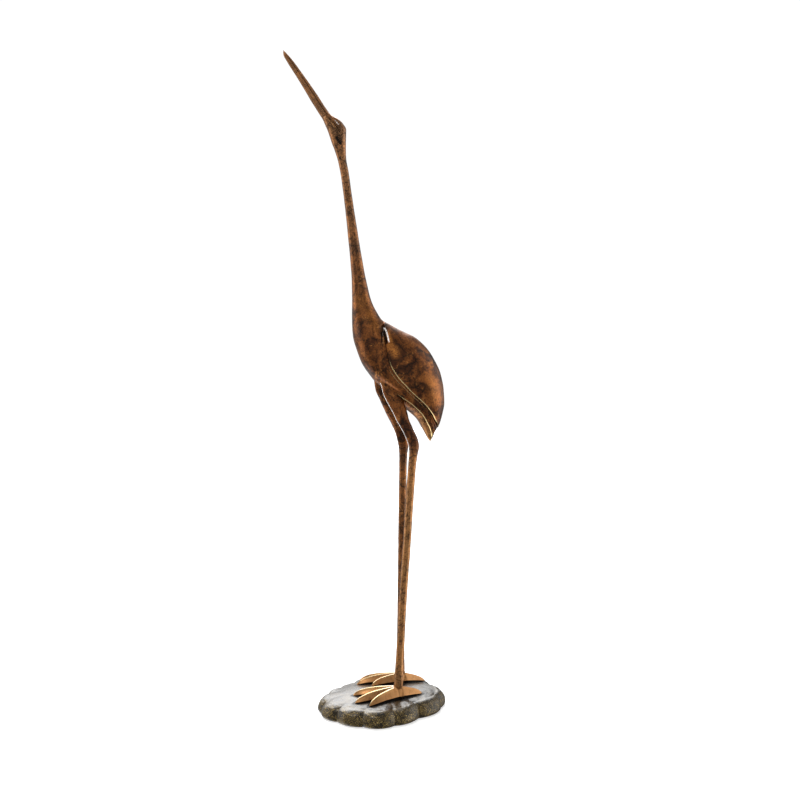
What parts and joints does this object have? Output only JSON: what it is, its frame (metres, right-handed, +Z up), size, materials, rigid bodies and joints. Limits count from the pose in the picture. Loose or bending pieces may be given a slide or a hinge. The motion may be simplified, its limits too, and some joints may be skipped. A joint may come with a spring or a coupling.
{
  "type": "crane garden statue",
  "caption": "Slender cast-metal crane standing with its bill raised, wings folded and long thin legs, on a low scalloped dome base. Stands free on its flat underside as a garden ornament.",
  "frame": {"origin": "middle of the base's flat underside, under the crane's centre plane", "axes": "+Z up, -X the way the crane looks, +Y to the crane's right side"},
  "size_m": [0.2734, 0.201, 1.086],
  "materials": {
    "crane_metal": "mottled copper-brown patina with dark blotches and gold rubbed edges, satin",
    "base_metal": "dark olive-brown with fine gold speckles, glossy"
  },
  "bodies": {
    "root": {"base": "base_metal", "crane": "crane_metal"}
  },
  "joints": []
}
